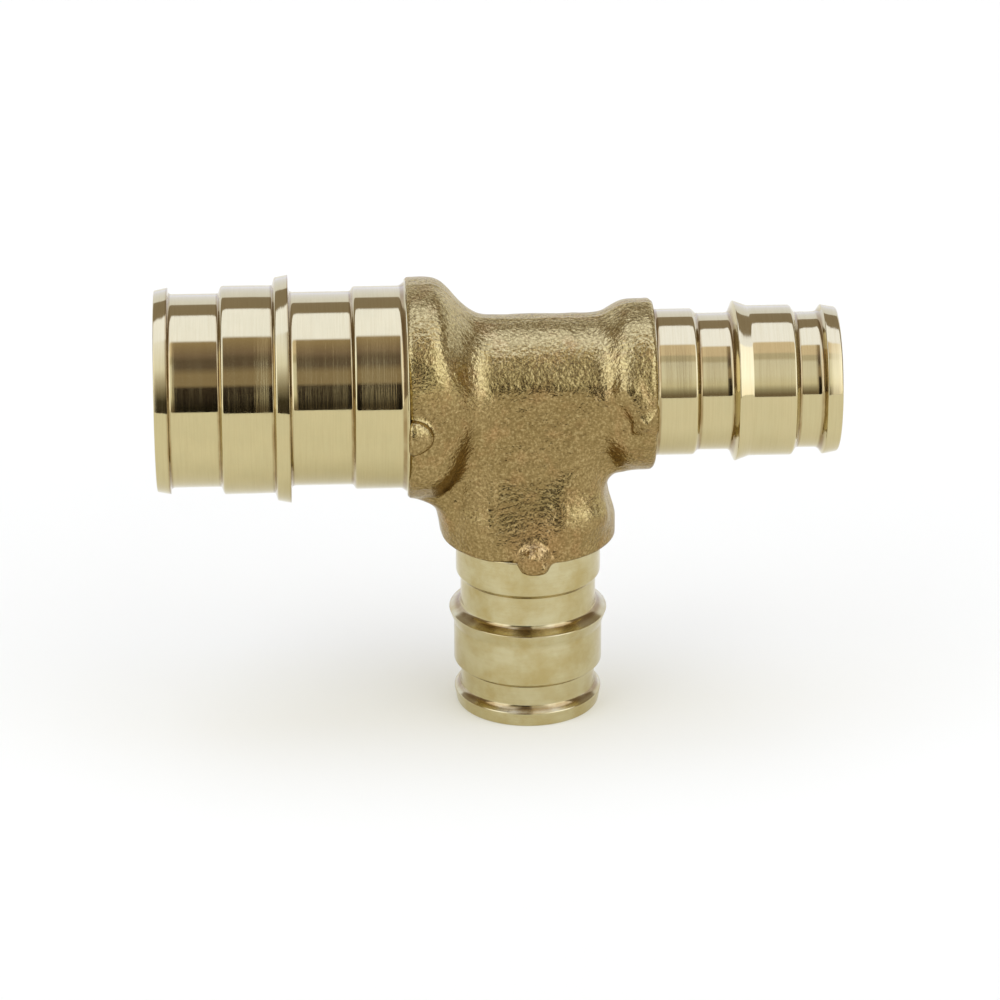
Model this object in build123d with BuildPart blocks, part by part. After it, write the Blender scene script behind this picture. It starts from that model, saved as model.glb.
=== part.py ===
from build123d import *

import os
from dataclasses import dataclass

# A reducing tee for expanded plastic pipe: one brass casting with a turned spigot on each end.
# All sizes are in millimetres. The run lies along X, the large spigot towards -X and the small
# one towards +X. The branch hangs along -Z, and the tee stands on the end of its spigot.
# The origin is where the run and branch axes cross.

# Barrels of the casting
RUN_BARREL_R = 7.1
BRANCH_BARREL_R = 7.6
BRANCH_ROOT_R = 7.0  # at the run's axis, just inside the run barrel
BRANCH_WIDENING = 2.5  # from the run's axis to the branch barrel's full width

# Flats at the front and back of the casting, where the barrels cross. Each slopes out at its foot
# to meet the branch collar.
FLAT_DEPTH = 6.75  # from the plane of both axes
FLAT_LEFT = -5.0
FLAT_RIGHT = 7.0
FLAT_TOP = 4.0
FLAT_FOOT = -10.2
FLAT_SLOPE_DEPTH = 8.9
FLAT_SLOPE_END = -14.0

# Rounded corners of the casting
BARREL_FILLET = 1.6
CROTCH_FILLET = 0.9
RIM_ROUND = 0.4

# The waterway
LARGE_BORE_R = 7.75
SMALL_BORE_R = 5.1
LARGE_BORE_END = 8.6  # from the origin to where the large bore starts to narrow
BORE_NARROWING = 1.6
MOUTH_CHAMFER = 0.4

# Cast lugs, which stand out of each collar at the front and back
LUG_PROUD = 0.5
LUG_SINK = 0.6
LUG_ROUND = 0.4
LUG_CORNER = 0.6


@dataclass
class Collar:
    """A cast collar, which a cone joins to the barrel behind it. Its spigot starts at its face."""

    face: float  # from the origin
    radius: float
    length: float
    cone_length: float
    corner_round: float  # between the collar and its cone


LARGE_COLLAR = Collar(face=12.0, radius=10.8, length=2.7, cone_length=3.2, corner_round=1.1)
SMALL_COLLAR = Collar(face=12.1, radius=8.5, length=3.0, cone_length=2.0, corner_round=0.9)
BRANCH_COLLAR = Collar(face=15.7, radius=8.6, length=2.3, cone_length=2.6, corner_round=0.9)


@dataclass
class Lug:
    """A lug, by its collar, its middle and its size along X and Z."""

    collar: Collar
    middle_x: float
    middle_z: float
    width_x: float
    height_z: float


LUGS = [
    Lug(collar=LARGE_COLLAR, middle_x=-11.15, middle_z=-1.0, width_x=1.7, height_z=3.3),
    Lug(collar=SMALL_COLLAR, middle_x=11.25, middle_z=-0.5, width_x=2.5, height_z=2.6),
    Lug(collar=BRANCH_COLLAR, middle_x=0, middle_z=-15.1, width_x=2.7, height_z=3.0),
]


@dataclass
class Spigot:
    """A turned spigot. Every start and end is measured along it from the collar's face."""

    bore_r: float
    root_r: float  # the narrow cone against the collar
    root_length: float
    inner_land_r: float
    inner_land_end: float
    inner_groove_r: float
    rib_start: float
    rib_face: float  # length of the steep side that holds the pipe on
    rib_r: float
    rib_slope_end: float
    rib_slope_r: float
    outer_land_start: float
    outer_land_r: float
    outer_land_end: float
    outer_groove_r: float
    lip_start: float
    lip_r: float
    length: float
    end_r: float
    step: float  # length of the small cone where each land drops to its groove


LARGE_SPIGOT = Spigot(
    bore_r=LARGE_BORE_R,
    root_r=10.35,
    root_length=0.7,
    inner_land_r=9.88,
    inner_land_end=5.0,
    inner_groove_r=9.43,
    rib_start=11.3,
    rib_face=0.08,
    rib_r=11.12,
    rib_slope_end=12.6,
    rib_slope_r=10.86,
    outer_land_start=12.8,
    outer_land_r=10.15,
    outer_land_end=17.8,
    outer_groove_r=9.42,
    lip_start=23.0,
    lip_r=10.06,
    length=24.3,
    end_r=9.82,
    step=0.25,
)
SMALL_SPIGOT = Spigot(
    bore_r=SMALL_BORE_R,
    root_r=7.3,
    root_length=0.25,
    inner_land_r=7.15,
    inner_land_end=3.85,
    inner_groove_r=6.69,
    rib_start=7.45,
    rib_face=0.5,
    rib_r=7.85,
    rib_slope_end=9.3,
    rib_slope_r=7.36,
    outer_land_start=9.4,
    outer_land_r=7.35,
    outer_land_end=13.45,
    outer_groove_r=6.64,
    lip_start=16.2,
    lip_r=7.32,
    length=18.0,
    end_r=7.08,
    step=0.45,
)


def collar_corners(collar, direction, barrel_r):
    """
    The corners of a collar's outline from its face back to its barrel, as (distance, radius, round).
    The direction is 1 for a collar that faces along its axis and -1 for one that faces back.
    """
    face = direction * collar.face
    shoulder = face - direction * collar.length
    cone_foot = shoulder - direction * collar.cone_length
    return [
        (face, 0, 0),
        (face, collar.radius, RIM_ROUND),
        (shoulder, collar.radius, collar.corner_round),
        (cone_foot, barrel_r, BARREL_FILLET),
    ]


def spigot_outline(spigot):
    """Half the section of a spigot, as points of (distance from the collar's face, radius)."""
    return [
        (0, spigot.bore_r),
        (0, spigot.root_r),
        (spigot.root_length, spigot.inner_land_r),
        (spigot.inner_land_end, spigot.inner_land_r),
        (spigot.inner_land_end + spigot.step, spigot.inner_groove_r),
        (spigot.rib_start, spigot.inner_groove_r),
        (spigot.rib_start + spigot.rib_face, spigot.rib_r),
        (spigot.rib_slope_end, spigot.rib_slope_r),
        (spigot.outer_land_start, spigot.outer_land_r),
        (spigot.outer_land_end, spigot.outer_land_r),
        (spigot.outer_land_end + spigot.step, spigot.outer_groove_r),
        (spigot.lip_start, spigot.outer_groove_r),
        (spigot.lip_start + spigot.rib_face, spigot.lip_r),
        (spigot.length, spigot.end_r),
        (spigot.length, spigot.bore_r + MOUTH_CHAMFER),
        (spigot.length - MOUTH_CHAMFER, spigot.bore_r),
    ]


# Outlines are drawn on planes whose x runs along the axis and whose y is the radius
RUN_PLANE = Plane(origin=(0, 0, 0), x_dir=(1, 0, 0), z_dir=(0, -1, 0))
BRANCH_PLANE = Plane(origin=(0, 0, 0), x_dir=(0, 0, -1), z_dir=(0, 1, 0))
LARGE_SEAT = Plane(origin=(-LARGE_COLLAR.face, 0, 0), x_dir=(-1, 0, 0), z_dir=(0, 1, 0))
SMALL_SEAT = Plane(origin=(SMALL_COLLAR.face, 0, 0), x_dir=(1, 0, 0), z_dir=(0, -1, 0))
BRANCH_SEAT = Plane(origin=(0, 0, -BRANCH_COLLAR.face), x_dir=(0, 0, -1), z_dir=(0, 1, 0))

large_end = collar_corners(LARGE_COLLAR, -1, RUN_BARREL_R)
small_end = collar_corners(SMALL_COLLAR, 1, RUN_BARREL_R)
branch_end = collar_corners(BRANCH_COLLAR, 1, BRANCH_BARREL_R)
branch_root = [(BRANCH_WIDENING, BRANCH_BARREL_R, 0), (0, BRANCH_ROOT_R, 0), (0, 0, 0)]
barrels = [
    (RUN_PLANE, large_end + small_end[::-1]),
    (BRANCH_PLANE, branch_end + branch_root),
]

with BuildPart() as cast_tee_body:
    for plane, corners in barrels:
        with BuildSketch(plane) as outline:
            with BuildLine():
                Polyline(*[(distance, radius) for distance, radius, _ in corners], close=True)
            make_face()
            for distance, radius, rounding in corners:
                if rounding > 0:
                    corner = outline.vertices().sort_by_distance((distance, radius, 0)).first
                    fillet(corner, rounding)
        revolve(axis=Axis(plane.origin, plane.x_dir))

    # The barrels cross in curves on the left and right of the branch
    crossings = edges().filter_by(GeomType.BSPLINE)
    crotches = crossings.filter_by(lambda edge: abs(edge.center().X) > RUN_BARREL_R / 2)
    fillet(crotches, CROTCH_FILLET)

    with BuildSketch(Plane.YZ.offset(FLAT_LEFT)):
        with BuildLine():
            Polyline(
                (FLAT_DEPTH, FLAT_TOP),
                (FLAT_DEPTH, FLAT_FOOT),
                (FLAT_SLOPE_DEPTH, FLAT_SLOPE_END),
                (FLAT_SLOPE_DEPTH, FLAT_TOP),
                close=True,
            )
        make_face()
        mirror(about=Plane.YZ)
    extrude(amount=FLAT_RIGHT - FLAT_LEFT, mode=Mode.SUBTRACT)

    for lug in LUGS:
        for side in (-1, 1):
            depth = side * (lug.collar.radius - LUG_SINK)
            foot = Plane(origin=(lug.middle_x, depth, lug.middle_z), x_dir=(1, 0, 0), z_dir=(0, side, 0))
            with BuildSketch(foot):
                RectangleRounded(lug.width_x, lug.height_z, LUG_CORNER)
            extrude(amount=LUG_SINK + LUG_PROUD)
            front = faces(Select.LAST).sort_by(Axis((0, 0, 0), (0, side, 0))).last
            fillet(front.edges(), LUG_ROUND)

    with BuildSketch(RUN_PLANE):
        with BuildLine():
            Polyline(
                (-LARGE_COLLAR.face, 0),
                (-LARGE_COLLAR.face, LARGE_BORE_R),
                (-LARGE_BORE_END, LARGE_BORE_R),
                (-LARGE_BORE_END + BORE_NARROWING, SMALL_BORE_R),
                (SMALL_COLLAR.face, SMALL_BORE_R),
                (SMALL_COLLAR.face, 0),
                close=True,
            )
        make_face()
    revolve(axis=Axis.X, mode=Mode.SUBTRACT)

    with BuildSketch(Plane.XY.offset(-BRANCH_COLLAR.face)):
        Circle(SMALL_BORE_R)
    extrude(amount=BRANCH_COLLAR.face, mode=Mode.SUBTRACT)

with BuildPart() as large_run_spigot:
    with BuildSketch(LARGE_SEAT):
        with BuildLine():
            Polyline(*spigot_outline(LARGE_SPIGOT), close=True)
        make_face()
    revolve(axis=Axis(LARGE_SEAT.origin, LARGE_SEAT.x_dir))

with BuildPart() as small_run_spigot:
    with BuildSketch(SMALL_SEAT):
        with BuildLine():
            Polyline(*spigot_outline(SMALL_SPIGOT), close=True)
        make_face()
    revolve(axis=Axis(SMALL_SEAT.origin, SMALL_SEAT.x_dir))

with BuildPart() as branch_spigot:
    with BuildSketch(BRANCH_SEAT):
        with BuildLine():
            Polyline(*spigot_outline(SMALL_SPIGOT), close=True)
        make_face()
    revolve(axis=Axis(BRANCH_SEAT.origin, BRANCH_SEAT.x_dir))

os.makedirs("parts", exist_ok=True)

cast_tee_body.part.label = "cast_tee_body"
export_step(cast_tee_body.part, "parts/cast_tee_body.step")

large_run_spigot.part.label = "large_run_spigot"
export_step(large_run_spigot.part, "parts/large_run_spigot.step")

small_run_spigot.part.label = "small_run_spigot"
export_step(small_run_spigot.part, "parts/small_run_spigot.step")

branch_spigot.part.label = "branch_spigot"
export_step(branch_spigot.part, "parts/branch_spigot.step")
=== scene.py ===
import math

import bpy
import numpy as np
import openvdb
from mathutils import Matrix, Vector


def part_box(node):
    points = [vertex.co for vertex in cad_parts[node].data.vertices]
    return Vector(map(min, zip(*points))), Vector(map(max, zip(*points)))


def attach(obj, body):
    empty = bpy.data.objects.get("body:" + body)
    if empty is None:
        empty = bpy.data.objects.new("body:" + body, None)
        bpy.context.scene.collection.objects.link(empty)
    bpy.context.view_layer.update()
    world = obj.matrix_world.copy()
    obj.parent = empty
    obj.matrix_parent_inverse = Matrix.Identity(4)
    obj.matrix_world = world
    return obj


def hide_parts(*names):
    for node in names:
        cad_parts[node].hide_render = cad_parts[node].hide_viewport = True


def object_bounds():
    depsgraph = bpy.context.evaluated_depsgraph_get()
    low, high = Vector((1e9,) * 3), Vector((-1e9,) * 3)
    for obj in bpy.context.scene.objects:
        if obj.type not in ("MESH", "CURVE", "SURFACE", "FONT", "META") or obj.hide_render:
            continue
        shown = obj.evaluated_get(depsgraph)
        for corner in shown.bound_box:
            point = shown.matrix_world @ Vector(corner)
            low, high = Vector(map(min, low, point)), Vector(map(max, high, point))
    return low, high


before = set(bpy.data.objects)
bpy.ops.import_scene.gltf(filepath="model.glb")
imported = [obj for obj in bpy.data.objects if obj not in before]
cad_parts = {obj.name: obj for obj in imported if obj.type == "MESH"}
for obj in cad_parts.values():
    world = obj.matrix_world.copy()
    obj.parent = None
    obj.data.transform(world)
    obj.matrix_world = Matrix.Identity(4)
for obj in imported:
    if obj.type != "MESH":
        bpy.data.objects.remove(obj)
cad_low, cad_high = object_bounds()

# A brass reducing tee: a sand-cast centre with three collars, and a turned spigot on each of them.
# The run lies along X, with the large spigot towards -X and the front towards -Y. The branch hangs
# along -Z, and the tee stands on its end.
# Shapes are written in millimetres, and MM turns them into Blender's metres.
MM = 0.001

# Places along the axes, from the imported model
body_low, body_high = (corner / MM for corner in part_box("cast_tee_body"))
LARGE_FACE = -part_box("large_run_spigot")[1].x / MM
SMALL_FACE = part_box("small_run_spigot")[0].x / MM
BRANCH_FACE = -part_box("branch_spigot")[1].z / MM
FLOOR_Z = cad_low.z

# The waterway, which narrows inside the casting
LARGE_BORE_R = 7.75
SMALL_BORE_R = 5.1
NARROWING = (-8.6, -7.0)  # from x to x


# ---------------------------------------------------------------- the cast centre

# The casting is drawn from a field: about the distance from its skin, and negative inside the metal
GRID = 0.21  # spacing of the field's points
MARGIN = 1.2  # of the field, round the casting

# The outline of the run, as (x, radius), and of the branch, as (z, radius)
RUN_OUTLINE = [
    (-14.0, 10.75), (-9.6, 10.75), (-8.9, 10.6), (-8.2, 10.15), (-7.45, 9.3), (-6.65, 8.4),
    (-5.9, 7.72), (-5.1, 7.25), (-4.2, 7.05), (5.9, 7.0), (6.7, 7.05), (7.45, 7.25), (8.2, 7.75),
    (8.9, 8.2), (9.7, 8.38), (14.0, 8.42),
]
BRANCH_OUTLINE = [
    (-18.0, 8.57), (-14.0, 8.57), (-13.4, 8.46), (-12.5, 8.18), (-11.4, 7.85), (-10.2, 7.66),
    (-6.0, 7.45), (-2.5, 7.2), (0.0, 6.8), (2.0, 6.0),
]
SOFTNESS = 0.35  # of the outlines' corners
STEP = 0.05  # along the softened outlines
CASTING_DROP = 0.12  # the run's casting lies this much below its turned ends

# The branch is a little square above its collar, whose flare starts higher on the right, at the
# front and back
SQUARENESS = 0.6  # where 0 is round
SQUARENESS_FADES = (11.0, 15.2)  # from where to where, down the branch
FLARE_RISE = 1.3

# The fillet where the run and branch meet, and what is added to it under each of the run's collars
FILLET = 1.7
FILLET_LEFT = 3.6
FILLET_RIGHT = 1.8

# The flats where the run and branch cross, one at the front and one at the back
FLAT = 6.75  # from the plane of both axes
FLAT_MIDDLE = 1.2
FLAT_ENDS = (4.4, 7.4)  # from its middle to where a flat starts and stops fading into the collars
FLAT_FOOT = (7.2, 15.4)  # the same, down the branch
FLAT_END_SLOPE = 2.6  # how far it slopes out as it fades
FLAT_FOOT_SLOPE = 1.35
FLAT_FOOT_SLOPE_RIGHT = 0.8  # added on the right
FLAT_EDGE = 0.25  # round of its edges
FLAT_EDGE_FADED = 1.4  # added as it fades

# Unevenness of the skin, as (height, size of the lumps)
WAVES = (0.028, 2.4)
LUMPS = (0.010, 0.8)
MOULD_JOINT_HEIGHT = 0.06
MOULD_JOINT_WIDTH = 0.2

# Lugs and hollows at the back, as (middle, half size). Those at the front mirror them.
LARGE_LUG = (-12.1, 9.9, -1.4), (2.55, 1.0, 1.85)
SMALL_LUG = (10.9, 8.1, -0.85), (1.25, 1.0, 1.3)
SMALL_LUG_SLANT = 1.1
HOLLOW = (8.7, 8.6, -1.2), (1.7, 1.1, 2.1)  # between the small collar's lug and the barrel
RIDGE = (9.5, 7.05, 2.0), (10.4, 7.5, 0.2)  # down to the small collar's lug, from end to end
RIDGE_R = 1.0
BRANCH_LUG = (0.2, 7.6, -15.5), (1.6, 1.5, 1.95)
BRANCH_LUG_BOTTOM = -16.6
BRANCH_LUG_INNER = 7.45  # clear of the spigot
RECESS = (1.95, 8.5, -14.3), (0.7, 0.6, 1.1)  # beside the branch collar's lug
KNOBS = [(-0.25, 8.75, -14.7), (0.45, 8.75, -15.0), (1.05, 8.75, -15.9)]  # on that lug
KNOB_HALF = (0.35, 0.45, 0.45)


def outline_field(along, radius, outline):
    """The field of a turned outline with softened corners."""
    places, radii = np.array(outline).T
    fine = np.arange(places[0], places[-1], STEP)
    reach = np.arange(-3 * SOFTNESS, 3 * SOFTNESS + STEP / 2, STEP)
    weights = np.exp(-((reach / SOFTNESS) ** 2) / 2)
    padded = np.interp(fine[0] + STEP * np.arange(-len(reach), len(fine) + len(reach)), places, radii)
    smooth = np.convolve(padded, weights / weights.sum(), "same")[len(reach):len(reach) + len(fine)]
    slope = np.gradient(smooth, STEP)
    at = np.interp(along, fine, smooth)
    return (radius - at) / np.sqrt(1 + np.interp(along, fine, slope) ** 2)


def join(a, b, blend):
    """The union of two fields, with a fillet where they meet. The blend is the fillet's width."""
    h = np.clip(0.5 + 0.5 * (b - a) / blend, 0, 1)
    return b * (1 - h) + a * h - blend * h * (1 - h)


def cut(a, b, blend):
    """What two fields have in common, with a round where their surfaces meet."""
    return -join(-a, -b, blend)


def ease(value, low, high):
    """0 at low, 1 at high, and a smooth rise between them."""
    t = np.clip((value - low) / (high - low), 0, 1)
    return t * t * (3 - 2 * t)


def dome(x, y, z, middle, half):
    """An ellipsoid."""
    apart = sum(((v - m) / h) ** 2 for v, m, h in zip((x, y, z), middle, half))
    return (np.sqrt(apart) - 1) * min(half)


def bar(x, y, z, start, end, radius):
    """A round bar between two points."""
    start, end = np.array(start), np.array(end)
    way = end - start
    apart = [v - s for v, s in zip((x, y, z), start)]
    t = np.clip(sum(a * w for a, w in zip(apart, way)) / (way @ way), 0, 1)
    return np.sqrt(sum((a - t * w) ** 2 for a, w in zip(apart, way))) - radius


def rounded_block(x, y, z, middle, half, corner):
    """A block with rounded edges."""
    away = [np.abs(v - m) - h + corner for v, m, h in zip((x, y, z), middle, half)]
    outside = np.sqrt(sum(np.maximum(a, 0) ** 2 for a in away))
    return outside + np.minimum(np.maximum(np.maximum(away[0], away[1]), away[2]), 0) - corner


def lug(x, y, z, middle, half, slant):
    """A cast lug: a rounded block with the edges of its outer face slanted back."""
    block = rounded_block(x, y, z, middle, half, 0.25)
    forward = y - middle[1] - half[1] + slant
    for value, centre, reach in ((x, middle[0], half[0]), (z, middle[2], half[2])):
        block = cut(block, (np.abs(value - centre) - reach + forward) * 0.7, blend=0.15)
    return block


def grain(shape, size, rng):
    """Smooth random values of about unit size, with lumps of the given size."""
    spectrum = np.fft.rfftn(rng.standard_normal(shape))
    f = [np.fft.fftfreq(count, GRID) for count in shape[:2]] + [np.fft.rfftfreq(shape[2], GRID)]
    squared = f[0][:, None, None] ** 2 + f[1][None, :, None] ** 2 + f[2][None, None, :] ** 2
    values = np.fft.irfftn(spectrum * np.exp(-squared * (size * 1.5) ** 2), shape)
    return values / values.std()


def barrels(x, y, z):
    """The field of the run and branch with their collars, and the flats where they cross."""
    from_run = np.sqrt(y ** 2 + (z + CASTING_DROP) ** 2)
    run = outline_field(x, from_run, RUN_OUTLINE)

    squareness = SQUARENESS * (1 - ease(-z, *SQUARENESS_FADES))
    from_branch = np.sqrt(x ** 2 + y ** 2)
    from_branch = (1 - squareness) * from_branch + squareness * (x ** 4 + y ** 4) ** 0.25
    rise = FLARE_RISE * ease(x, 0.8, 3.2) * ease(np.abs(y), 2.5, 5.5)
    branch = outline_field(z - rise, from_branch, BRANCH_OUTLINE)
    branch = cut(branch, z, blend=1.5)

    # the two meet in a fillet, which fills the corners under the collars
    middle = 1 - ease(np.abs(y), 3.5, 8.5)
    left = ease(-x, 5.5, 8.5) * ease(-z, 8.0, 11.0) * middle
    right = ease(x, 4.5, 7.5) * ease(-z, 4.5, 8.0) * middle
    skin = join(run, branch, blend=FILLET + FILLET_LEFT * left + FILLET_RIGHT * right)

    # the flats slope out and fade away, at their ends and at their foot
    end = ease(np.abs(x - FLAT_MIDDLE), *FLAT_ENDS)
    foot = ease(rise - z, *FLAT_FOOT)
    foot_slope = FLAT_FOOT_SLOPE + FLAT_FOOT_SLOPE_RIGHT * ease(x, 0.5, 3.0)
    flat = FLAT + FLAT_END_SLOPE * end + foot_slope * foot
    edge = FLAT_EDGE + FLAT_EDGE_FADED * np.maximum(end, foot)
    return cut(skin, np.abs(y) - flat, blend=edge)


def waterway(x, y, z):
    """The field of the water's space."""
    run = np.sqrt(y ** 2 + z ** 2) - np.interp(x, NARROWING, (LARGE_BORE_R, SMALL_BORE_R))
    branch = np.maximum(np.sqrt(x ** 2 + y ** 2) - SMALL_BORE_R, z)
    return np.minimum(run, branch)


def casting_field(axes):
    """The field of the casting, at the points of a grid."""
    x, y, z = np.meshgrid(*axes, indexing="ij", sparse=True)
    skin = barrels(x, y, z)

    # a hand-made pattern, sand and shrinkage leave the skin slightly uneven
    rng = np.random.default_rng(11)
    for height, size in (WAVES, LUMPS):
        skin = skin + height * grain(skin.shape, size, rng)
    # the mould's two halves meet in the plane of both axes
    skin = skin - MOULD_JOINT_HEIGHT * np.exp(-((y / MOULD_JOINT_WIDTH) ** 2))

    for side in (-1, 1):
        skin = join(skin, dome(x, side * y, z, *LARGE_LUG), blend=0.45)

    skin = cut(skin, -LARGE_FACE - x, blend=0.5)
    skin = cut(skin, x - SMALL_FACE, blend=0.6)
    skin = cut(skin, -BRANCH_FACE - z, blend=0.45)

    # these lugs reach past the faces of their collars
    for side in (-1, 1):
        outward = side * y
        skin = cut(skin, -dome(x, outward, z, *HOLLOW), blend=1.0)
        skin = join(skin, bar(x, outward, z, *RIDGE, RIDGE_R), blend=1.1)
        skin = join(skin, lug(x, outward, z, *SMALL_LUG, SMALL_LUG_SLANT), blend=0.4)

        skin = cut(skin, -dome(x, outward, z, *RECESS), blend=0.4)
        branch_lug = dome(x, outward, z, *BRANCH_LUG)
        branch_lug = cut(branch_lug, BRANCH_LUG_BOTTOM - z, blend=0.1)
        branch_lug = cut(branch_lug, BRANCH_LUG_INNER - outward, blend=0.1)
        skin = join(skin, branch_lug, blend=0.6)
        for knob in KNOBS:
            skin = join(skin, dome(x, outward, z, knob, KNOB_HALF), blend=0.25)

    return np.maximum(skin, -waterway(x, y, z))


def make_casting():
    """The casting's skin, as one closed mesh of quads."""
    axes = [np.arange(lo - MARGIN, hi + MARGIN, GRID) for lo, hi in zip(body_low, body_high)]
    grid = openvdb.FloatGrid(3 * GRID)
    grid.copyFromArray(casting_field(axes).astype(np.float32))
    points, quads = grid.convertToQuads(0.0)
    start = np.array([a[0] for a in axes])
    mesh = bpy.data.meshes.new("cast_body")
    # the quads are turned over, to face outwards
    mesh.from_pydata((points * GRID + start) * MM, [], quads[:, ::-1])
    mesh.validate()
    mesh.update()
    piece = bpy.data.objects.new("cast_body", mesh)
    bpy.context.scene.collection.objects.link(piece)
    mesh.shade_smooth()
    return piece


# ---------------------------------------------------------------- the turned spigots

AROUND = 240  # points round a spigot
ALONG = 0.4  # the longest step along its outline
RIM = 0.4  # chamfer round its mouth
ARC_STEPS = 4  # in a rounded corner
ARC_REACH = 0.45  # of the way to the next corner, at most

# Each outline is made of (distance from the collar's face, radius, corner round). It starts with the
# turned face of the collar itself.
LARGE_OUTLINE = [
    (-0.12, 10.5, 0), (0.015, 10.5, 0.01), (0.015, 10.25, 0.01), (0.5, 9.88, 0.2),
    (5.0, 9.88, 0.2), (5.27, 9.43, 0.15), (11.22, 9.43, 0.4), (11.3, 11.12, 0.06),
    (12.62, 10.86, 0.15), (12.85, 10.115, 0.1), (14.7, 10.15, 0.1), (17.8, 10.15, 0.22),
    (18.07, 9.42, 0.15), (22.9, 9.42, 0.4), (22.96, 10.06, 0.05), (24.25, 9.8, 0.04),
    (24.3, 9.72, 0.03),
]
SMALL_OUTLINE = [
    (0.25, 7.15, 0.2), (3.85, 7.15, 0.15), (4.28, 6.69, 0.15), (7.45, 6.69, 0.35),
    (7.95, 7.85, 0.1), (9.3, 7.36, 0.1), (9.45, 7.35, 0), (13.45, 7.35, 0.15),
    (13.92, 6.64, 0.15), (16.1, 6.64, 0.35), (16.55, 7.32, 0.1), (17.88, 7.08, 0.06),
    (18.0, 6.98, 0.05),
]
SMALL_RUN_START = [(-0.12, 8.0, 0), (0.015, 8.0, 0.01), (0.015, 7.3, 0.01)]
BRANCH_START = [(-0.12, 8.15, 0), (0.015, 8.15, 0.01), (0.015, 7.3, 0.01)]


def corner_arc(before, corner, after, size):
    """The points of an outline's corner, rounded."""
    before, corner, after = (Vector(point) for point in (before, corner, after))
    if size == 0:
        return [corner]
    to_before, to_after = before - corner, after - corner
    start = corner + to_before.normalized() * min(size, to_before.length * ARC_REACH)
    end = corner + to_after.normalized() * min(size, to_after.length * ARC_REACH)
    steps = [i / ARC_STEPS for i in range(ARC_STEPS + 1)]
    return [start * (1 - t) ** 2 + corner * 2 * t * (1 - t) + end * t ** 2 for t in steps]


def make_spigot(name, outline, bore_r, place):
    """A turned spigot, drawn up its own Z axis from the collar's face and then put in place."""
    length = outline[-1][0]
    mouth = [(length, bore_r + RIM, 0.05), (length - RIM, bore_r, 0.05), (0.0, bore_r, 0)]
    corners = outline + mouth
    points = []
    for i, (*corner, size) in enumerate(corners):
        before = corners[i - 1][:2]
        after = corners[(i + 1) % len(corners)][:2]
        points += corner_arc(before, corner, after, size)
    ring = []
    for here, there in zip(points, points[1:] + points[:1]):
        steps = max(1, round((there - here).length / ALONG))
        ring += [here.lerp(there, k / steps) for k in range(steps)]
    turns = [2 * math.pi * k / AROUND for k in range(AROUND)]
    verts = [(p.y * math.cos(a) * MM, p.y * math.sin(a) * MM, p.x * MM) for a in turns for p in ring]
    faces = []
    for k in range(AROUND):
        here, there = k * len(ring), (k + 1) % AROUND * len(ring)
        for i in range(len(ring)):
            j = (i + 1) % len(ring)
            faces.append((here + i, here + j, there + j, there + i))
    mesh = bpy.data.meshes.new(name)
    mesh.from_pydata(verts, [], faces)
    mesh.update()
    mesh.shade_smooth()
    piece = bpy.data.objects.new(name, mesh)
    piece.matrix_world = place
    bpy.context.scene.collection.objects.link(piece)
    return piece


# ---------------------------------------------------------------- materials


class Nodes:
    """A node tree being written, with short calls for the nodes it uses."""

    def __init__(self, tree):
        self.tree = tree
        tree.nodes.clear()

    def add(self, kind, inputs=None, **settings):
        node = self.tree.nodes.new(kind)
        for key, value in settings.items():
            setattr(node, key, value)
        for key, value in (inputs or {}).items():
            socket = node.inputs[key]
            if isinstance(value, bpy.types.NodeSocket):
                self.tree.links.new(value, socket)
            else:
                socket.default_value = value
        return node

    def math(self, operation, a, b=0.0):
        return self.add("ShaderNodeMath", {0: a, 1: b}, operation=operation).outputs[0]

    def span(self, value, low, high, to_low=0.0, to_high=1.0, smooth=False):
        kind = "SMOOTHSTEP" if smooth else "LINEAR"
        inputs = {"Value": value, "From Min": low, "From Max": high, "To Min": to_low, "To Max": to_high}
        return self.add("ShaderNodeMapRange", inputs, interpolation_type=kind).outputs["Result"]

    def mix(self, factor, a, b):
        """A mix of two colours, whose sockets on the node are 6 and 7."""
        return self.add("ShaderNodeMix", {0: factor, 6: a, 7: b}, data_type="RGBA").outputs[2]

    def noise(self, vector, scale, detail=2.0, roughness=0.5):
        inputs = {"Vector": vector, "Scale": scale, "Detail": detail, "Roughness": roughness}
        return self.add("ShaderNodeTexNoise", inputs).outputs["Fac"]

    def stretch(self, vector, scale):
        return self.add("ShaderNodeMapping", {"Vector": vector, "Scale": scale}).outputs["Vector"]

    def bump(self, height, distance):
        inputs = {"Strength": 1.0, "Distance": distance, "Height": height}
        return self.add("ShaderNodeBump", inputs).outputs["Normal"]

    def z_of(self, vector):
        return self.add("ShaderNodeSeparateXYZ", {0: vector}).outputs[2]


def new_material(name):
    material = bpy.data.materials.new(name)
    material.use_nodes = True
    return material, Nodes(material.node_tree)


def colour(r, g, b):
    return (r, g, b, 1.0)


COPPER_SPOT = (0.5, -8.4, -13.5)  # in millimetres, above the branch collar's lug


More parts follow.
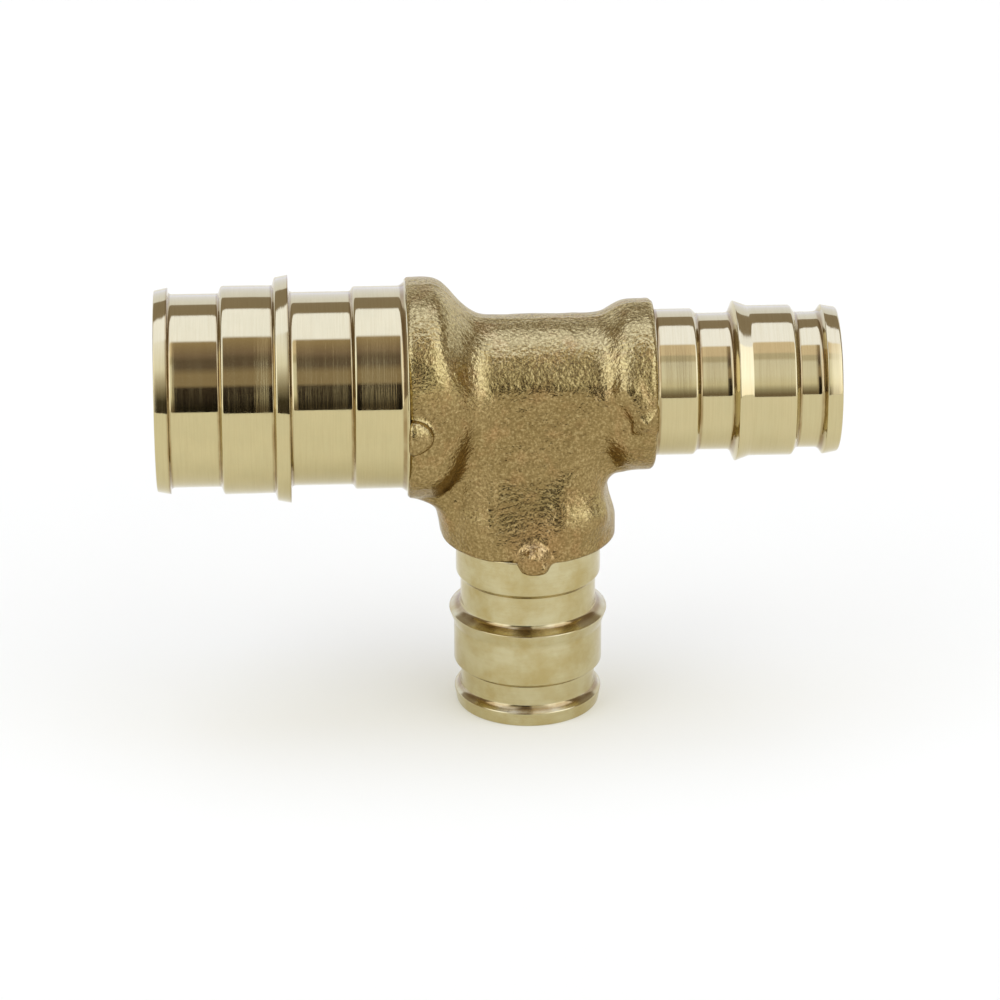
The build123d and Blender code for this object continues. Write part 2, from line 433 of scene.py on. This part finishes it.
def cast_brass():
    """Sand-cast brass: grainy, tarnished a little unevenly, with coppery patches, and painted lighter on
    top and where it faces up.
    """
    material, n = new_material("cast_brass")
    coordinates = n.add("ShaderNodeTexCoord")
    at = coordinates.outputs["Object"]
    patches = n.noise(at, 260.0, 3.0)
    copper = n.noise(n.stretch(at, (1.0, 1.1, 0.9)), 420.0, 4.0, 0.6)
    speckle = n.noise(at, 3800.0, 3.0, 0.7)
    pits = n.noise(at, 2600.0, 2.0, 0.55)

    # painted light: the skin is painted lighter on top of the run, and wherever it faces up
    uneven = n.span(patches, 0.35, 0.7)
    tarnished = n.mix(uneven, colour(0.325, 0.23, 0.088), colour(0.37, 0.265, 0.107))
    # a copy of the casting's colour, painted lighter, for the painted light
    clean_and_painted_lit = n.mix(uneven, colour(0.48, 0.38, 0.15), colour(0.54, 0.43, 0.175))
    high = n.span(n.z_of(at), 1.0 * MM, 5.0 * MM, smooth=True)
    painted_light_facing_up = n.span(n.z_of(coordinates.outputs["Normal"]), 0.12, 0.35, 0.0, 0.8)
    base = n.mix(n.math("MAXIMUM", high, painted_light_facing_up), tarnished, clean_and_painted_lit)

    # copper shows in patches, and above the branch collar's lug
    spot = [value * MM for value in COPPER_SPOT]
    away = n.add("ShaderNodeVectorMath", {0: at, 1: spot}, operation="DISTANCE").outputs["Value"]
    at_spot = n.span(away, 4.5 * MM, 1.0 * MM, smooth=True)
    red = n.math("MAXIMUM", n.span(copper, 0.52, 0.75, 0.0, 0.4), n.math("MULTIPLY", at_spot, 0.35))
    base = n.mix(red, base, colour(0.48, 0.25, 0.1))

    base = n.mix(n.span(speckle, 0.42, 0.7, 0.0, 0.75), base, colour(0.13, 0.08, 0.025))
    base = n.mix(n.span(speckle, 0.46, 0.3, 0.0, 0.45), base, colour(0.62, 0.5, 0.25))
    shader = n.add(
        "ShaderNodeBsdfPrincipled",
        {
            "Base Color": base, "Metallic": 1.0, "Roughness": n.span(patches, 0.3, 0.7, 0.19, 0.23),
            "Normal": n.bump(pits, 0.1 * MM), "Specular Tint": colour(0.9, 0.85, 0.74),
        },
    )
    n.add("ShaderNodeOutputMaterial", {"Surface": shader.outputs[0]})
    return material


def turned_brass(name, clean_and_painted_lit, dull, shaded_corners, mark_depth, roughness):
    """
    Brass straight off the lathe, with fine marks round the spigot's own Z axis. It has painted shade, a
    patchy darker brown, in the corners at the given distances from the collar's face.
    """
    material, n = new_material(name)
    at = n.add("ShaderNodeTexCoord").outputs["Object"]
    marks = n.noise(n.stretch(at, (0.03, 0.03, 1.0)), 7000.0, 3.0, 0.6)
    bands = n.noise(n.stretch(at, (0.05, 0.05, 1.0)), 900.0, 2.0)
    clouds = n.noise(at, 330.0, 4.0, 0.6)
    base = n.mix(n.span(clouds, 0.38, 0.68), clean_and_painted_lit, dull)
    base = n.mix(n.span(marks, 0.4, 0.75, 0.0, 0.35), base, colour(0.5, 0.4, 0.19))

    # painted shade: a darker brown in the corners of the outline, patchy with the clouds
    corner_shade = 0.0
    for corner in shaded_corners:
        apart = n.math("ABSOLUTE", n.math("SUBTRACT", n.z_of(at), corner * MM))
        corner_shade = n.math("MAXIMUM", n.span(apart, 0.3 * MM, 0.08 * MM, smooth=True), corner_shade)
    corner_shade = n.math("MULTIPLY", corner_shade, n.span(clouds, 0.3, 0.6, 0.3, 0.8))
    base = n.mix(corner_shade, base, colour(0.27, 0.17, 0.06))

    fine = n.span(marks, 0.3, 0.7, -0.015, 0.015)
    coarse = n.span(bands, 0.35, 0.65, roughness, roughness + 0.04)
    tangent = n.add("ShaderNodeTangent", direction_type="RADIAL", axis="Z").outputs[0]
    shader = n.add(
        "ShaderNodeBsdfPrincipled",
        {
            "Base Color": base, "Metallic": 1.0, "Roughness": n.math("ADD", fine, coarse),
            "Anisotropic": 0.8, "Anisotropic Rotation": 0.25, "Tangent": tangent,
            "Normal": n.bump(marks, mark_depth * MM),
        },
    )
    n.add("ShaderNodeOutputMaterial", {"Surface": shader.outputs[0]})
    return material


def plain_floor():
    material, n = new_material("pale_floor")
    shader = n.add(
        "ShaderNodeBsdfPrincipled",
        {
            "Base Color": colour(0.66, 0.65, 0.56), "Roughness": 0.9, "Specular IOR Level": 0.1,
            "Emission Color": colour(1.0, 0.99, 0.84), "Emission Strength": 0.29,
        },
    )
    n.add("ShaderNodeOutputMaterial", {"Surface": shader.outputs[0]})
    return material


# ---------------------------------------------------------------- build

casting = make_casting()
casting.data.materials.append(cast_brass())
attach(casting, "root")
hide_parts("cast_tee_body")

# Corners of the spigots with painted shade in them
LARGE_SHADED_CORNERS = [0.3, 5.25, 11.2, 12.85, 18.05, 22.9]
SMALL_SHADED_CORNERS = [0.2, 4.25, 7.5, 13.9, 16.15]
BRANCH_SHADED_CORNERS = [0.2, 7.5, 16.15]
large_brass = turned_brass(
    "turned_brass_large", clean_and_painted_lit=colour(0.57, 0.49, 0.26), dull=colour(0.6, 0.51, 0.27),
    shaded_corners=LARGE_SHADED_CORNERS, mark_depth=0.0035, roughness=0.06,
)
small_brass = turned_brass(
    "turned_brass_small", clean_and_painted_lit=colour(0.58, 0.5, 0.275), dull=colour(0.6, 0.51, 0.28),
    shaded_corners=SMALL_SHADED_CORNERS, mark_depth=0.0015, roughness=0.06,
)
branch_brass = turned_brass(
    "turned_brass_branch", clean_and_painted_lit=colour(0.585, 0.52, 0.305), dull=colour(0.48, 0.385, 0.165),
    shaded_corners=BRANCH_SHADED_CORNERS, mark_depth=0.002, roughness=0.15,
)

# The spigots, as (name, CAD node, outline, bore's radius, material, place)
SPIGOTS = [
    ("large_spigot", "large_run_spigot", LARGE_OUTLINE, LARGE_BORE_R, large_brass,
     Matrix.Translation((-LARGE_FACE * MM, 0, 0)) @ Matrix.Rotation(-math.pi / 2, 4, "Y")),
    ("small_spigot", "small_run_spigot", SMALL_RUN_START + SMALL_OUTLINE, SMALL_BORE_R, small_brass,
     Matrix.Translation((SMALL_FACE * MM, 0, 0)) @ Matrix.Rotation(math.pi / 2, 4, "Y")),
    ("branch_end_spigot", "branch_spigot", BRANCH_START + SMALL_OUTLINE, SMALL_BORE_R, branch_brass,
     Matrix.Translation((0, 0, -BRANCH_FACE * MM)) @ Matrix.Rotation(math.pi, 4, "Y")),
]
for name, node, outline, bore_r, brass, place in SPIGOTS:
    spigot = make_spigot(name, outline, bore_r, place)
    spigot.data.materials.append(brass)
    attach(spigot, "root")
    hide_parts(node)


# ---------------------------------------------------------------- floor, light and camera

floor_mesh = bpy.data.meshes.new("floor")
floor_corners = [(-1.6, -0.5), (1.6, -0.5), (1.6, 2.0), (-1.6, 2.0)]
floor_mesh.from_pydata([(x, y, FLOOR_Z) for x, y in floor_corners], [], [(0, 1, 2, 3)])
floor = bpy.data.objects.new("floor", floor_mesh)
floor.data.materials.append(plain_floor())
bpy.context.scene.collection.objects.link(floor)

# This light is for the floor: it isn't seen in the brass
light = bpy.data.lights.new("softbox", "AREA")
light.shape = "RECTANGLE"
light.size = 1.2
light.size_y = 1.2
light.energy = 2.0
softbox = bpy.data.objects.new("softbox", light)
softbox.location = (-0.1, -0.1, 0.9)
softbox.visible_camera = False
softbox.visible_glossy = False
bpy.context.scene.collection.objects.link(softbox)

# What the brass reflects: a studio, as colours by direction. Each table goes up from the floor in
# front of the tee, in degrees. Straight ahead, where the camera is, it is dark. It is paler from a
# few degrees to the right, brighter with height to the left, and bright at both sides.
AHEAD = [
    (-10, (0.012, 0.01, 0.008)), (3, (0.012, 0.01, 0.008)), (9, (0.02, 0.015, 0.014)),
    (24, (0.04, 0.028, 0.022)), (28, (0.36, 0.29, 0.22)), (40, (0.36, 0.29, 0.22)),
    (49, (0.16, 0.125, 0.11)), (57, (0.16, 0.125, 0.11)), (63, (0.26, 0.2, 0.18)),
    (80, (0.44, 0.35, 0.26)),
]
AHEAD_MIDDLE = [
    (-6, (0.34, 0.27, 0.2)), (3, (0.4, 0.33, 0.25)), (8, (0.62, 0.54, 0.44)),
    (15, (0.66, 0.57, 0.46)), (25, (0.52, 0.44, 0.36)), (28, (0.4, 0.33, 0.26)),
    (40, (0.38, 0.31, 0.24)), (49, (0.19, 0.15, 0.13)), (57, (0.19, 0.15, 0.13)),
    (63, (0.29, 0.23, 0.2)), (80, (0.44, 0.35, 0.26)),
]
AHEAD_RIGHT = [
    (-6, (0.22, 0.18, 0.14)), (0, (0.24, 0.2, 0.155)), (7, (0.48, 0.46, 0.4)),
    (15, (0.95, 0.94, 0.88)), (30, (1.04, 1.06, 1.12)), (51, (1.0, 1.02, 1.1)),
    (55, (0.74, 0.71, 0.67)), (62, (0.74, 0.71, 0.67)), (65, (1.01, 0.9, 0.85)),
    (81, (1.01, 0.9, 0.85)),
]
LEFT = [
    (-6, (0.05, 0.04, 0.03)), (10, (0.07, 0.06, 0.04)), (22, (0.35, 0.32, 0.28)),
    (34, (0.7, 0.68, 0.7)), (48, (1.15, 1.2, 1.4)), (82, (1.35, 1.45, 2.0)),
]
SIDES = [(-6, (1.7, 1.7, 1.85)), (30, (1.85, 1.95, 2.4)), (82, (1.75, 1.85, 2.35))]
OVERHEAD = colour(1.42, 1.56, 2.3)
CEILING = colour(0.36, 0.31, 0.28)
BEHIND = colour(1.05, 1.12, 1.45)
BACKGROUND = colour(1.0, 1.0, 1.0)  # what the camera sees past the floor


def by_height(n, stops, degrees_up):
    """The colour of a table at a height."""
    ramp = n.add("ShaderNodeValToRGB", {"Fac": n.span(degrees_up, -180.0, 180.0)})
    elements = ramp.color_ramp.elements
    while len(elements) < len(stops):
        elements.new(0.5)
    for element, (degrees, rgb) in zip(elements, stops):
        element.position = (degrees + 180) / 360
        element.color = colour(*rgb)
    return ramp.outputs["Color"]


def studio_world():
    world = bpy.data.worlds.new("studio")
    world.use_nodes = True
    n = Nodes(world.node_tree)
    direction = n.add("ShaderNodeTexCoord").outputs["Generated"]
    dx, dy, dz = n.add("ShaderNodeSeparateXYZ", {0: direction}).outputs
    up = n.math("ARCTAN2", dz, n.math("MULTIPLY", dy, -1.0))
    up = n.math("MULTIPLY", up, 180 / math.pi)
    aside = n.math("MULTIPLY", n.math("ARCSINE", dx), 180 / math.pi)

    front = n.mix(n.span(aside, 2.0, 3.0), by_height(n, AHEAD, up), by_height(n, AHEAD_MIDDLE, up))
    front = n.mix(n.span(aside, 3.3, 4.2), front, by_height(n, AHEAD_RIGHT, up))
    front = n.mix(n.span(aside, -8.0, -20.0, smooth=True), front, by_height(n, LEFT, up))
    at_right = n.span(aside, 18.0, 34.0, smooth=True)
    at_left = n.span(aside, -27.0, -36.0, smooth=True)
    front = n.mix(n.math("MAXIMUM", at_right, at_left), front, by_height(n, SIDES, up))
    room = n.mix(n.span(up, 80.5, 83.5), front, OVERHEAD)

    # the overhead light ends short of the ceiling's dark strip, and a bright wall follows behind it
    height = n.math("MAXIMUM", dz, 0.01)
    aslant = n.math("DIVIDE", n.math("ABSOLUTE", dx), height)
    backward = n.math("DIVIDE", dy, height)
    past_light = n.math("ADD", backward, n.math("MULTIPLY", aslant, 0.6))
    room = n.mix(n.span(past_light, 0.62, 0.68), room, CEILING)
    room = n.mix(n.span(backward, 1.4, 1.52), room, BEHIND)

    seen = n.add("ShaderNodeLightPath").outputs["Is Camera Ray"]
    shader = n.add("ShaderNodeBackground", {"Color": n.mix(seen, room, BACKGROUND), "Strength": 1.0})
    n.add("ShaderNodeOutputWorld", {"Surface": shader.outputs[0]})
    return world


bpy.context.scene.world = studio_world()

# The camera looks down at the front, from a little left of square
AZIMUTH = math.radians(-2.85)
ELEVATION = math.radians(23.37)
DISTANCE = 0.4555  # in metres
FOCAL = 4.665  # focal length over the width of the picture
SENSOR = 36.0
OFF_X, OFF_Y = 0.0283, 0.1157  # where the tee's origin lies in the picture, from its middle

level = math.cos(ELEVATION)
back = Vector((math.sin(AZIMUTH) * level, -math.cos(AZIMUTH) * level, math.sin(ELEVATION)))
right = Vector((math.cos(AZIMUTH), math.sin(AZIMUTH), 0))
up = back.cross(right)
camera_data = bpy.data.cameras.new("camera")
camera_data.sensor_width = SENSOR
camera_data.lens = FOCAL * SENSOR
camera_data.clip_start = 0.01
camera_data.clip_end = 20.0
camera = bpy.data.objects.new("camera", camera_data)
camera_at = back * DISTANCE - right * (OFF_X / FOCAL * DISTANCE) - up * (OFF_Y / FOCAL * DISTANCE)
turn = Matrix((right, up, back)).transposed()
camera.matrix_world = Matrix.Translation(camera_at) @ turn.to_4x4()
bpy.context.scene.collection.objects.link(camera)
bpy.context.scene.camera = camera
bpy.context.scene.view_settings.view_transform = "Standard"
